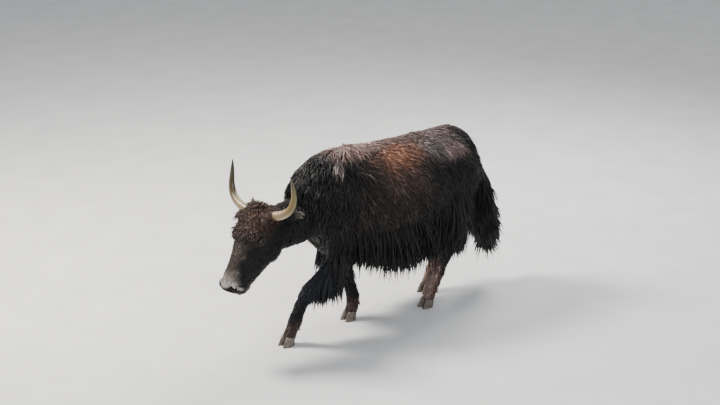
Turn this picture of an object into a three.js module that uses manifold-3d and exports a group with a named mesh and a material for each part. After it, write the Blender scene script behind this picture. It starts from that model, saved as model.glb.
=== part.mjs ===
// A life-size domestic yak cow, walking with her head low and her left foreleg well forward.
// Millimetres: +X towards the head, +Y to the animal's left, +Z up, and the floor at Z 0.
// Her body is one form, parted by thin gaps where a person would name its parts. Long hair is made as
// flat, tapered locks that grow out of the part below them.
import * as THREE from 'three';
import { mergeVertices } from 'three/addons/utils/BufferGeometryUtils.js';
import Module from 'manifold-3d';

const wasm = await Module();
wasm.setup();

// Driving dimensions
const gap = 0.35; // between two parts that meet
const middleOfLength = 198; // of nose to tail, in the frame that the body is drawn in
const middleOfWidth = 24; // of her horns and her right side, in the same frame
const floorLevel = -20; // the floor, in the same frame
const headTurn = 9; // degrees to her left
const headNod = 51; // degrees below level
const pollAt = [1048, 50, 948]; // the top of the skull, between the horns

const { Vector3 } = THREE;
const { degToRad: radians, lerp: mix, seededRandom, smoothstep } = THREE.MathUtils;
const sides = [
  { side: 1, name: 'left' },
  { side: -1, name: 'right' },
];

// Solids

// A geometry as a closed solid, placed by matrix.
function solidOf(geometry, matrix = new THREE.Matrix4()) {
  const bare = new THREE.BufferGeometry();
  bare.setAttribute('position', geometry.getAttribute('position').clone());
  bare.setIndex(geometry.index);
  const merged = mergeVertices(bare.applyMatrix4(matrix), 1e-3);
  return new wasm.Manifold(
    new wasm.Mesh({
      numProp: 3,
      vertProperties: merged.attributes.position.array,
      triVerts: new Uint32Array(merged.index.array),
      tolerance: 0.02,
    }),
  );
}

// A solid as a geometry.
function geometryOf(solid) {
  const mesh = solid.getMesh();
  const geometry = new THREE.BufferGeometry();
  geometry.setAttribute('position', new THREE.BufferAttribute(mesh.vertProperties, 3));
  geometry.setIndex(new THREE.BufferAttribute(mesh.triVerts, 1));
  geometry.computeVertexNormals();
  return geometry;
}

// The same solid, with its whole surface moved outwards.
function grown(solid, distance = gap) {
  const geometry = geometryOf(solid);
  const at = geometry.attributes.position;
  const normal = geometry.attributes.normal;
  for (let i = 0; i < at.count; i++) {
    at.setXYZ(
      i,
      at.getX(i) + distance * normal.getX(i),
      at.getY(i) + distance * normal.getY(i),
      at.getZ(i) + distance * normal.getZ(i),
    );
  }
  return new wasm.Manifold(
    new wasm.Mesh({
      numProp: 3,
      vertProperties: at.array,
      triVerts: geometry.index.array,
    }),
  );
}

const union = (pieces) => wasm.Manifold.union(pieces);
const without = (solid, cutters) => cutters.reduce((rest, cutter) => rest.subtract(cutter), solid);
const largest = (solid) =>
  solid.decompose().reduce((a, b) => (b.volume() > a.volume() ? b : a));

// The same geometry with each face turned over.
function turnedOver(geometry) {
  const index = geometry.index.array;
  for (let i = 0; i < index.length; i += 3) {
    [index[i], index[i + 1]] = [index[i + 1], index[i]];
  }
  return geometry;
}

const mirrored = (geometry) => turnedOver(geometry.scale(1, -1, 1));

// A closed solid whose faces point outwards, whichever way the geometry was turned.
function positive(geometry) {
  const made = solidOf(geometry);
  return made.volume() > 0 ? made : solidOf(turnedOver(geometry));
}

// Forms

// A trunk or limb drawn through cross-sections, each [x, y, z, front or upper half, rear or lower half,
// side half]. A peak above 0 narrows the upper side towards a ridge.
function limb(stations, rings, around, peak = 0) {
  const spine = new THREE.CatmullRomCurve3(stations.map(([x, y, z]) => new Vector3(x, y, z)));
  const girth = new THREE.CatmullRomCurve3(stations.map((s) => new Vector3(s[3], s[4], s[5])));
  const surface = (t, angle) => {
    const along = spine.getTangent(t);
    const side = new Vector3(0, 1, 0).addScaledVector(along, -along.y).normalize();
    const upper = new Vector3().crossVectors(along, side);
    const half = girth.getPoint(t);
    const up = Math.cos(angle);
    const ridge = 1 - peak * Math.max(0, up) ** 2;
    return spine
      .getPoint(t)
      .addScaledVector(upper, up * (up > 0 ? half.x : half.y))
      .addScaledVector(side, Math.sin(angle) * half.z * ridge);
  };
  const geometry = new THREE.CylinderGeometry(1, 1, 1, around, rings);
  const at = geometry.attributes.position;
  for (let i = 0; i < at.count; i++) {
    const t = at.getY(i) + 0.5;
    const onAxis = Math.hypot(at.getX(i), at.getZ(i)) < 1e-6;
    const p = onAxis ? spine.getPoint(t) : surface(t, Math.atan2(at.getZ(i), at.getX(i)));
    at.setXYZ(i, p.x, p.y, p.z);
  }
  return { geometry, spine, surface };
}

// A ball stretched to three half axes, turned about Y and set at a point.
function ball([x, y, z], [a, b, c], turn = 0, around = 8, high = 6) {
  return new THREE.SphereGeometry(1, around, high)
    .scale(a, b, c)
    .rotateY(radians(turn))
    .translate(x, y, z);
}

// Locks of long hair

seededRandom(4790);
const spreadOf = (amount) => amount * (2 * seededRandom() - 1);
const evenly = (from, to, count) =>
  Array.from({ length: count }, (_, i) => mix(from, to, (i + 0.5) / count));

// A flat lock that swells a little past its root and then tapers, along a bend through four points.
// A margin makes it fatter all over and blunt, as the room that a neighbour leaves for it.
function lockSolid(points, wide, thick, outward, margin = 0) {
  const path = new THREE.CatmullRomCurve3(points);
  const geometry = margin
    ? new THREE.CylinderGeometry(1, 1, 1, 4, 3)
    : new THREE.ConeGeometry(1, 1, 4, 3);
  const at = geometry.attributes.position;
  for (let i = 0; i < at.count; i++) {
    const t = at.getY(i) + 0.5;
    const along = path.getTangent(t);
    const broad = new Vector3().crossVectors(along, outward).normalize();
    const flat = new Vector3().crossVectors(broad, along);
    const onAxis = Math.hypot(at.getX(i), at.getZ(i)) < 1e-6;
    const angle = Math.atan2(at.getZ(i), at.getX(i));
    const size = (1 - t) * (1 + 2 * t);
    const p = path.getPoint(t).addScaledVector(along, t === 1 ? margin : 0);
    if (!onAxis) {
      p.addScaledVector(flat, Math.cos(angle) * (thick * size + margin));
      p.addScaledVector(broad, Math.sin(angle) * (wide * size + margin));
    }
    at.setXYZ(i, p.x, p.y, p.z);
  }
  return positive(geometry);
}

// A lock rooted in a form: t runs along the form, angle goes round it from its upper or front side,
// and reach leads from the root's place on the surface to the tip.
function lockOn(form, t, angle, style, reachFrom) {
  const at = form.surface(t, radians(angle));
  const outward = at.clone().sub(form.spine.getPoint(t)).normalize();
  const reach = reachFrom(at, t, angle);
  const wave = new Vector3(spreadOf(style.wave), spreadOf(style.wave), 0);
  const stand = 1 + spreadOf(0.25);
  const onPath = (off, part) => at.clone().addScaledVector(outward, off).addScaledVector(reach, part);
  const points = [
    onPath(-style.sunk, 0),
    onPath(style.rise * stand, 0.22),
    onPath(style.stand * stand, 0.62).add(wave),
    onPath(style.tip * stand, 1).sub(wave),
  ];
  const wide = style.wide * (1 + spreadOf(0.2));
  return {
    solid: lockSolid(points, wide, style.thick, outward),
    room: lockSolid(points, wide, style.thick, outward, 5 * gap),
  };
}

// A reach that follows a form's surface: so far along it, and so many degrees further round it.
function lyingAlong(form, further, round) {
  return (at, t, angle) => {
    const next = Math.min(1, t + further + spreadOf(further * 0.2));
    const turn = Math.sign(angle) * Math.min(1, Math.abs(angle) / 30) * round;
    return form.surface(next, radians(angle + turn + spreadOf(4))).sub(at);
  };
}

// Staggered rows of locks: one at each angle, at each place along a form.
function lockRows(form, places, angles, style, reachFrom) {
  const step = angles.length > 1 ? angles[1] - angles[0] : 0;
  return places.flatMap((t, row) =>
    angles.map((angle) => {
      const shifted = angle + (row % 2 ? step / 2 : 0) + spreadOf(step * 0.12);
      return lockOn(form, t, shifted, style, reachFrom);
    }),
  );
}

// Placed meshes

function material(color, roughness) {
  return new THREE.MeshStandardMaterial({ color, roughness, metalness: 0 });
}

const coatBlack = material(0x1b1714, 0.85);
const coatBrown = material(0x4a2d22, 0.85);
const hornPale = material(0xb9a57c, 0.4);
const hoofPale = material(0xbfae93, 0.55);
const eyeDark = material(0x120c08, 0.1);

const yak = new THREE.Group();

function place(name, geometry, look, parent = yak, position = [0, 0, 0], rotation = [0, 0, 0]) {
  const mesh = new THREE.Mesh(geometry, look);
  mesh.name = name;
  mesh.position.set(...position);
  mesh.rotation.set(...rotation.map(radians), 'ZYX');
  parent.add(mesh);
  mesh.updateWorldMatrix(true, false);
  return mesh;
}

const solidOfMesh = (mesh) => solidOf(mesh.geometry, mesh.matrixWorld);

const turned = new THREE.Group(); // turned with the head, but level
turned.position.set(...pollAt);
turned.rotation.z = radians(headTurn);
yak.add(turned);
const headFrame = new THREE.Group(); // +X down the face to the nose, +Z out of the forehead
headFrame.rotation.y = radians(headNod);
turned.add(headFrame);
yak.updateMatrixWorld(true);

// Torso: deep chest, high shoulders, round barrel and a sloping rump

const torsoStations = [
  // x, top, widest height, bottom, half width
  [-712, 930, 850, 770, 45],
  [-690, 1035, 850, 700, 116],
  [-632, 1124, 850, 615, 176],
  [-535, 1172, 845, 550, 216],
  [-410, 1174, 840, 512, 240],
  [-250, 1174, 820, 482, 268],
  [-80, 1170, 800, 460, 288],
  [100, 1170, 800, 460, 282],
  [250, 1183, 805, 470, 260],
  [370, 1192, 815, 485, 240],
  [480, 1184, 825, 505, 224],
  [570, 1150, 825, 535, 202],
  [640, 1086, 815, 580, 168],
  [690, 988, 800, 640, 122],
  [714, 890, 790, 700, 55],
].map(([x, top, widest, bottom, half]) => [x, 0, widest, top - widest, widest - bottom, half]);
const torsoForm = limb(torsoStations, 17, 18, 0.3);

// Its long hair: a mane on the shoulders, a fringe on the brisket, breeches behind the thighs and a
// skirt along each flank
const maneStyle = { wide: 32, thick: 9, sunk: 26, rise: 16, stand: 34, tip: 26, wave: 14 };
const fringeStyle = { wide: 30, thick: 9, sunk: 26, rise: 6, stand: 8, tip: 4, wave: 8 };
const skirtStyle = { wide: 42, thick: 10, sunk: 28, rise: 10, stand: 14, tip: 2, wave: 10 };
const skirtHem = (x) => 322 + 110 * smoothstep(x, 60, 440);

const maneReach = lyingAlong(torsoForm, 0.055, 24);
const breechesReach = () => new Vector3(-34 + spreadOf(14), spreadOf(8), -250 + spreadOf(30));
const fringeReach = () => new Vector3(-24, spreadOf(10), -62 + spreadOf(14));

function skirtReach(above) {
  return (at) => {
    const fall = skirtHem(at.x) + above + spreadOf(18) - at.z;
    return new Vector3(-14 + spreadOf(16), -0.06 * at.y, fall);
  };
}

const torsoLocks = [
  ...lockRows(torsoForm, evenly(0.64, 0.91, 4), evenly(-80, 80, 5), maneStyle, maneReach),
  ...lockRows(torsoForm, evenly(0.8, 0.92, 2), evenly(148, 212, 2), fringeStyle, fringeReach),
];
for (const { side } of sides) {
  torsoLocks.push(
    ...lockRows(torsoForm, [0.06], [side * 142], skirtStyle, breechesReach),
    ...lockRows(torsoForm, evenly(0.366, 0.66, 12), [side * 128], skirtStyle, skirtReach(0)),
    ...lockRows(torsoForm, evenly(0.37, 0.65, 9), [side * 107], skirtStyle, skirtReach(70)),
  );
}

// Head, in its own frame: a straight forehead and nose, a deep jaw and a broad muzzle

const headStations = [
  // x, top, widest height, bottom, half width
  [-18, -30, -85, -130, 60],
  [6, 10, -85, -190, 102],
  [60, 32, -88, -252, 124],
  [125, 26, -92, -292, 130],
  [190, 10, -98, -306, 122],
  [255, -2, -104, -300, 104],
  [325, -14, -110, -276, 88],
  [395, -24, -112, -248, 79],
  [450, -30, -112, -230, 79],
  [490, -38, -114, -222, 80],
  [518, -52, -116, -206, 72],
  [534, -82, -120, -164, 44],
].map(([x, top, widest, bottom, half]) => [x, 0, widest, top - widest, widest - bottom, half]);
const headForm = limb(headStations, 13, 16, 0.12);

const eyeRadius = 19;
const eyeAt = [188, 102, -52];
const hornRootAt = [34, 84, -24];
const earRootAt = [30, 104, -90];

// Horns: out to the side, then up, with the tips a little forward
const hornPath = [
  [0, -16, -10],
  [-6, 50, 2],
  [-18, 116, 24],
  [-32, 163, 60],
  [-42, 184, 110],
  [-46, 184, 165],
  [-44, 176, 220],
  [-38, 166, 270],
];
const hornRadii = [29, 28, 26, 23, 19, 15, 10, 3];

function horn(side) {
  const stations = hornPath.map(([x, y, z], i) => [x, y, z, ...Array(3).fill(hornRadii[i])]);
  const { geometry } = limb(stations, 11, 8);
  return side < 0 ? mirrored(geometry) : geometry;
}

// Ears: a leaf with a hollow cup that faces forwards
const earLength = 184;
const earWidth = 80;
const earThick = 18;
const earSunk = 24;
const earRise = 12; // degrees above level
const earSweep = 45; // degrees towards the tail

function ear(side) {
  const leaf = new THREE.SphereGeometry(1, 10, 8);
  const at = leaf.attributes.position;
  for (let i = 0; i < at.count; i++) {
    const reach = at.getY(i); // from -1 at the root to 1 at the tip
    const slim = 1 - 0.4 * Math.max(0, reach) ** 2;
    const out = ((reach + 1) / 2) * earLength - earSunk;
    at.setXYZ(i, at.getX(i) * earThick, out, (at.getZ(i) * earWidth * slim) / 2);
  }
  const cup = ball([earThick, earLength * 0.43, 0], [22, earLength * 0.36, earWidth * 0.32]);
  const geometry = geometryOf(solidOf(leaf).subtract(solidOf(cup)));
  return side < 0 ? mirrored(geometry) : geometry;
}

// A point of the head's frame, in the level frame in which horns and ears stand.
const levelPoint = ([x, y, z], side) => new Vector3(x, side * y, z).applyMatrix4(headFrame.matrix);

const onHead = sides.flatMap(({ side, name }) => {
  const eyeBall = new THREE.SphereGeometry(eyeRadius, 8, 6);
  const eyePlace = [eyeAt[0], side * eyeAt[1], eyeAt[2]];
  const hornPlace = levelPoint(hornRootAt, side).toArray();
  const earPlace = levelPoint(earRootAt, side).toArray();
  const earTurn = [side * earRise, 0, side * earSweep];
  const hornMesh = place(`horn_${name}`, horn(side), hornPale, turned, hornPlace);
  const earMesh = place(`ear_${name}`, ear(side), coatBlack, turned, earPlace, earTurn);
  const earClear = solidOfMesh(earMesh).subtract(grown(solidOfMesh(hornMesh)));
  const toEarFrame = earMesh.matrixWorld.clone().invert().elements;
  earMesh.geometry = geometryOf(largest(earClear).transform(toEarFrame));
  const eyeMesh = place(`eye_${name}`, eyeBall, eyeDark, headFrame, eyePlace);
  return [eyeMesh, hornMesh, earMesh].map(solidOfMesh);
});

// The face: brows, lids, nose pads, chin, nostrils and the line of the mouth
function face() {
  const added = [solidOf(headForm.geometry), solidOf(ball([468, 0, -190], [50, 56, 32], -8))];
  const hollows = [];
  for (const { side } of sides) {
    const [x, y, z] = [eyeAt[0], side * eyeAt[1], eyeAt[2]];
    added.push(solidOf(ball([x - 10, side * 78, z + 24], [52, 25, 22], -6)));
    added.push(solidOf(ball([500, side * 48, -88], [34, 32, 30], 20)));
    const lids = new THREE.TorusGeometry(eyeRadius + 1, 5, 3, 10);
    lids.scale(1.15, 0.7, 1).rotateX(radians(90)).rotateY(radians(14));
    added.push(solidOf(lids.translate(x, y + side * 6, z)));
    hollows.push(solidOf(ball([534, side * 42, -88], [18, 15, 10], 62, 8, 5)));
  }
  const slit = new THREE.BoxGeometry(150, 240, 5).rotateY(radians(6)).translate(482, 0, -174);
  const insideLips = limb(
    headStations.map(([x, y, z, up, down, half]) => [x - 8, y, z, up - 8, down - 8, half - 8]),
    4,
    8,
  );
  hollows.push(solidOf(slit).subtract(solidOf(insideLips.geometry)));
  return union(added).subtract(union(hollows));
}

// Curls that fall over the forehead from between the horns
const curlStyle = { wide: 25, thick: 9, sunk: 22, rise: 14, stand: 26, tip: 14, wave: 8 };
const curlReach = lyingAlong(headForm, 0.13, 14);
const curls = lockRows(headForm, evenly(0.02, 0.3, 3), evenly(-62, 50, 4), curlStyle, curlReach);
const inHead = (piece) => piece.transform(headFrame.matrixWorld.elements);
const headLocks = curls.map(({ solid, room }) => ({ solid: inHead(solid), room: inHead(room) }));

// Neck: low and level, from the chest to the back of the skull

const neckForm = limb(
  [
    [540, 0, 850, 190, 200, 150],
    [655, 0, 822, 160, 195, 138],
    [765, 4, 795, 134, 185, 124],
    [870, 14, 782, 126, 172, 114],
    [960, 30, 786, 120, 150, 108],
    [1030, 46, 796, 100, 110, 90],
  ],
  8,
  14,
  0.25,
);

const throatReach = () => new Vector3(-52 + spreadOf(10), spreadOf(8), -22 + spreadOf(6));
const napeReach = lyingAlong(neckForm, 0.1, 34);

const neckLocks = [
  ...lockRows(neckForm, evenly(0.16, 0.8, 3), evenly(-74, 74, 3), maneStyle, napeReach),
  ...lockRows(neckForm, evenly(0.4, 0.86, 2), evenly(160, 200, 2), fringeStyle, throatReach),
];

// Legs, from inside the body to the coronet: each row is one cross-section. A leg is parted at the
// knee or hock, at the height named parting.

const legs = [
  {
    name: 'foreleg_left',
    parting: 330,
    toe: [866, 58],
    stations: [
      [520, 118, 810, 105, 115, 70],
      [520, 156, 700, 100, 112, 76],
      [536, 158, 599, 82, 90, 66],
      [556, 146, 501, 62, 66, 52],
      [638, 126, 408, 50, 52, 44],
      [717, 108, 328, 48, 48, 46],
      [754, 93, 263, 40, 44, 41],
      [780, 81, 195, 38, 42, 39],
      [800, 70, 133, 41, 46, 43],
      [820, 63, 86, 37, 41, 41],
      [839, 58, 42, 38, 38, 42],
    ],
  },
  {
    name: 'foreleg_right',
    parting: 337,
    toe: [309, -30],
    stations: [
      [500, -118, 810, 105, 115, 70],
      [495, -156, 700, 100, 112, 76],
      [469, -154, 599, 82, 90, 66],
      [421, -132, 501, 62, 66, 52],
      [363, -104, 413, 50, 52, 44],
      [319, -82, 335, 49, 49, 46],
      [289, -67, 268, 42, 45, 42],
      [268, -51, 197, 39, 43, 40],
      [260, -40, 133, 42, 47, 44],
      [266, -33, 86, 38, 41, 41],
      [282, -30, 42, 38, 38, 42],
    ],
  },
  {
    name: 'hindleg_left',
    parting: 438,
    toe: [-226, 117],
    stations: [
      [-430, 110, 890, 130, 140, 70],
      [-410, 152, 775, 145, 158, 86],
      [-385, 165, 665, 122, 138, 82],
      [-399, 161, 568, 92, 102, 66],
      [-429, 151, 485, 64, 68, 50],
      [-441, 142, 418, 48, 54, 43],
      [-416, 133, 353, 40, 45, 39],
      [-376, 127, 276, 35, 38, 36],
      [-332, 122, 195, 34, 38, 36],
      [-296, 119, 133, 39, 43, 41],
      [-274, 117, 86, 36, 39, 40],
      [-254, 117, 42, 39, 39, 42],
    ],
  },
  {
    name: 'hindleg_right',
    parting: 438,
    toe: [-390, -88],
    stations: [
      [-440, -110, 890, 130, 140, 70],
      [-430, -152, 775, 145, 158, 86],
      [-440, -165, 665, 122, 138, 82],
      [-497, -157, 568, 92, 102, 66],
      [-553, -141, 485, 64, 68, 50],
      [-591, -128, 418, 48, 54, 43],
      [-578, -117, 353, 40, 45, 39],
      [-544, -107, 276, 35, 38, 36],
      [-502, -98, 195, 34, 38, 36],
      [-466, -93, 133, 39, 43, 41],
      [-440, -90, 86, 36, 39, 40],
      [-418, -88, 42, 39, 39, 42],
    ],
  },
];

// The long hair of a leg, in rows of locks: first and last row, counted in cross-sections from the top,
// how many rows, first and last angle from the front towards the animal's left, locks in a row, height
// of the tips, and how far they lean towards the head.
const legStyle = { wide: 28, thick: 9, sunk: 24, rise: 14, stand: 18, tip: 6, wave: 10 };
const legHair = {
  foreleg_left: [
    [2, 4, 2, 120, 250, 3, 285, -10],
    [3.4, 4.8, 2, 140, 230, 3, 225, 10],
  ],
  foreleg_right: [
    [2, 4, 2, 110, 250, 3, 330, -80],
    [3.4, 4.8, 2, 130, 230, 2, 240, -30],
  ],
  hindleg_left: [
    [1.6, 3.4, 2, 80, 230, 3, 400, -20],
    [3, 4.4, 2, 110, 230, 3, 310, -20],
  ],
  hindleg_right: [
    [1.6, 3.4, 2, 130, 280, 3, 400, -30],
    [3, 4.4, 2, 130, 250, 2, 310, -30],
  ],
};

function legLocks(name, form, stations) {
  return legHair[name].flatMap(([first, last, rows, from, to, count, hem, lean]) => {
    const places = evenly(first, last, rows).map((i) => i / (stations.length - 1));
    const reach = (at) => {
      return new Vector3(lean + spreadOf(14), spreadOf(8), hem + spreadOf(24) - at.z);
    };
    return lockRows(form, places, evenly(from, to, count), legStyle, reach);
  });
}

// Half a cloven hoof, flat below, its front wall sloping up and back to the coronet
const toeLength = 92;
const toeHeight = 62;
const toeSplit = 23; // each half's distance from the middle of the foot
const toeSplay = 5; // degrees outwards

function toe() {
  const geometry = new THREE.CylinderGeometry(1, 1, 1, 12, 2);
  const at = geometry.attributes.position;
  for (let i = 0; i < at.count; i++) {
    const height = at.getY(i) + 0.5;
    const length = mix(toeLength, toeLength * 0.72, height) / 2;
    const half = mix(21, 18, height);
    const back = mix(0, 16, height);
    const [x, z] = [at.getX(i), at.getZ(i)];
    const heelDrop = x < 0 ? 14 * -x * height : 0;
    at.setXYZ(i, x * length - back, z * half, height * toeHeight - heelDrop);
  }
  return geometryOf(positive(geometry));
}

// A dewclaw: a small blunt cone behind the fetlock
function dewclaw([x, y, z, , rear], side) {
  const geometry = new THREE.ConeGeometry(11, 36, 6, 1).rotateZ(radians(118));
  return solidOf(geometry.translate(x - rear - 2, y + side * 17, z - 8));
}

// Tail: a slim core, hidden in long locks that swing out behind her

const tailForm = limb(
  [
    [-640, 0, 1076, 34, 34, 36],
    [-668, 4, 990, 50, 42, 50],
    [-706, 8, 880, 60, 48, 64],
    [-748, 14, 730, 76, 56, 82],
    [-790, 22, 570, 84, 58, 90],
    [-822, 28, 440, 62, 48, 68],
    [-838, 31, 366, 20, 16, 20],
  ],
  9,
  9,
);
const tailStyle = { wide: 54, thick: 11, sunk: 22, rise: 14, stand: 26, tip: 22, wave: 12 };
const tailLength = 225;

function tailReach(at) {
  const fall = tailLength * (1 + spreadOf(0.14));
  return new Vector3(-0.24 * fall, 0.05 * fall + 0.3 * (at.y - 20), -fall);
}

const tailLocks = lockRows(
  tailForm,
  evenly(0.04, 0.94, 5),
  evenly(-180, 180, 4),
  tailStyle,
  tailReach,
);

// The body's parts, plain: each is cut clear of the room that those before it take up

const inTheWay = onHead.map((solid) => grown(solid));
const bodyParts = [];

function addPart(name, look, solid, room, locks = []) {
  const earlier = bodyParts.map((part) => part.room);
  const plain = largest(without(solid, [...inTheWay, ...earlier]));
  bodyParts.push({ name, look, plain, room, locks });
}

const torso = solidOf(torsoForm.geometry);
const neck = solidOf(neckForm.geometry);
const tail = solidOf(tailForm.geometry);
addPart('torso', coatBlack, torso, grown(torso), torsoLocks);
addPart('head', coatBrown, inHead(face()), inHead(grown(solidOf(headForm.geometry))), headLocks);
addPart('neck', coatBlack, neck, grown(neck), neckLocks);
for (const { name, parting, toe: [toeX, toeY], stations } of legs) {
  for (const { side, name: half } of sides) {
    const at = [toeX - 8, toeY + side * toeSplit, floorLevel];
    const turn = [0, 0, side * toeSplay];
    inTheWay.push(
      grown(solidOfMesh(place(`${name}_toe_${half}`, toe(), hoofPale, yak, at, turn))),
    );
  }
  const form = limb(stations, 13, 10);
  const whole = solidOf(form.geometry);
  const claws = sides.map(({ side }) => dewclaw(stations.at(-2), side));
  const shank = union([whole.trimByPlane([0, 0, -1], -parting), ...claws]);
  const shankRoom = grown(whole).trimByPlane([0, 0, -1], -parting - gap);
  addPart(`${name}_shank`, coatBlack, shank, shankRoom);
  const upper = whole.trimByPlane([0, 0, 1], parting + gap);
  const upperRoom = grown(whole).trimByPlane([0, 0, 1], parting);
  addPart(`${name}_upper`, coatBlack, upper, upperRoom, legLocks(name, form, stations));
}
addPart('tail', coatBlack, tail, grown(tail), tailLocks);

// Their hair: cut clear of every other part, and of the locks on the parts before

const lockRoom = [];
for (const { name, look, plain, locks } of bodyParts) {
  const others = bodyParts.filter((part) => part.name !== name).map(({ room }) => room);
  const hair = without(union(locks.map(({ solid }) => solid)), [...inTheWay, ...others, ...lockRoom]);
  place(name, geometryOf(locks.length ? largest(union([plain, hair])) : plain), look);
  lockRoom.push(...locks.map(({ room }) => room));
}

yak.position.set(-middleOfLength, -middleOfWidth, -floorLevel);

export default yak;
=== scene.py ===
import math
import bmesh
import bpy
import numpy as np
from mathutils import Matrix, Vector
from mathutils.kdtree import KDTree


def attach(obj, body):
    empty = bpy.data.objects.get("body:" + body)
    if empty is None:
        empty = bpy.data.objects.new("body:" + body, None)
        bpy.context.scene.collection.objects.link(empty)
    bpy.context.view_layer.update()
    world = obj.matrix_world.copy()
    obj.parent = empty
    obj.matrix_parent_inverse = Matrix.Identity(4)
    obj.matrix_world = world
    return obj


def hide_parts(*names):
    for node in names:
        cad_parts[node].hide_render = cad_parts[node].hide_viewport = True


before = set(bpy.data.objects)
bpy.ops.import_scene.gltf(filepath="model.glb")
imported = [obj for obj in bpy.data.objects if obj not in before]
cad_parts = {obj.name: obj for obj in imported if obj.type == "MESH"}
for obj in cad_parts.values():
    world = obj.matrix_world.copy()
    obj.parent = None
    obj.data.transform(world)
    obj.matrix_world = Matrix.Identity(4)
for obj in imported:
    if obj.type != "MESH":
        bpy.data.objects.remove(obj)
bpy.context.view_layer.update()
rng = np.random.default_rng(4790)

# Flesh: the trunk, neck, head, four legs and the root of the tail, of muscle on bone. Each is drawn through
# cross-sections. A row is x, y, z, half height above and below, and half width, in metres on the animal's
# own frame, whose middle is MIDDLE and whose floor is at -0.02.
MIDDLE = Vector((0.198, 0.024, -0.02))


def level_rows(rows):
    """Rows of x, top, widest height, bottom and half width, as cross-sections on the middle plane."""
    return [(x, 0, widest, top - widest, widest - bottom, half) for x, top, widest, bottom, half in rows]


TRUNK = level_rows([
    (-0.712, 0.93, 0.85, 0.77, 0.045),
    (-0.69, 1.035, 0.85, 0.7, 0.116),
    (-0.632, 1.124, 0.85, 0.615, 0.176),
    (-0.535, 1.172, 0.845, 0.55, 0.216),
    (-0.41, 1.174, 0.84, 0.512, 0.24),
    (-0.25, 1.174, 0.82, 0.482, 0.268),
    (-0.08, 1.17, 0.8, 0.46, 0.288),
    (0.1, 1.17, 0.8, 0.46, 0.282),
    (0.25, 1.183, 0.805, 0.47, 0.26),
    (0.37, 1.192, 0.815, 0.485, 0.24),
    (0.48, 1.184, 0.825, 0.505, 0.224),
    (0.57, 1.15, 0.825, 0.535, 0.202),
    (0.64, 1.086, 0.815, 0.58, 0.168),
    (0.69, 0.988, 0.8, 0.64, 0.122),
    (0.714, 0.89, 0.79, 0.7, 0.055),
])
NECK = [
    (0.54, 0, 0.85, 0.19, 0.2, 0.15),
    (0.655, 0, 0.822, 0.16, 0.195, 0.138),
    (0.765, 0.004, 0.795, 0.134, 0.185, 0.124),
    (0.87, 0.014, 0.782, 0.126, 0.172, 0.114),
    (0.96, 0.03, 0.786, 0.12, 0.15, 0.108),
    (1.03, 0.046, 0.796, 0.1, 0.11, 0.09),
]
# The head is drawn in a frame of its own: +X down the face, +Z out of the forehead. The coat on it gets
# thinner from the poll to the lips.
HEAD = level_rows([
    (-0.018, -0.03, -0.085, -0.13, 0.06),
    (0.006, 0.01, -0.085, -0.19, 0.102),
    (0.06, 0.032, -0.088, -0.252, 0.124),
    (0.125, 0.026, -0.092, -0.292, 0.13),
    (0.19, 0.01, -0.098, -0.306, 0.122),
    (0.255, -0.002, -0.104, -0.3, 0.104),
    (0.325, -0.014, -0.11, -0.276, 0.088),
    (0.395, -0.024, -0.112, -0.248, 0.079),
    (0.45, -0.03, -0.112, -0.23, 0.079),
    (0.49, -0.038, -0.114, -0.222, 0.08),
    (0.518, -0.052, -0.116, -0.206, 0.072),
    (0.534, -0.082, -0.12, -0.164, 0.044),
])
HEAD_COAT = [0.012, 0.014, 0.014, 0.01, 0.005, 0.003, 0.003, 0.003, 0.003, 0.002, 0.001, 0.001]
HIND_SECTIONS = [
    (0.89, 0.13, 0.14, 0.07), (0.775, 0.145, 0.158, 0.086), (0.665, 0.122, 0.138, 0.082),
    (0.568, 0.092, 0.102, 0.066), (0.485, 0.064, 0.068, 0.05), (0.418, 0.048, 0.054, 0.043),
    (0.353, 0.04, 0.045, 0.039), (0.276, 0.035, 0.038, 0.036), (0.195, 0.034, 0.038, 0.036),
    (0.133, 0.039, 0.043, 0.041), (0.086, 0.036, 0.039, 0.04), (0.042, 0.039, 0.039, 0.042),
]


def hindleg(places):
    """The rows of a hindleg through the given places: both have the same sections, at the same heights."""
    return [(*place, *section) for place, section in zip(places, HIND_SECTIONS)]


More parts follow.
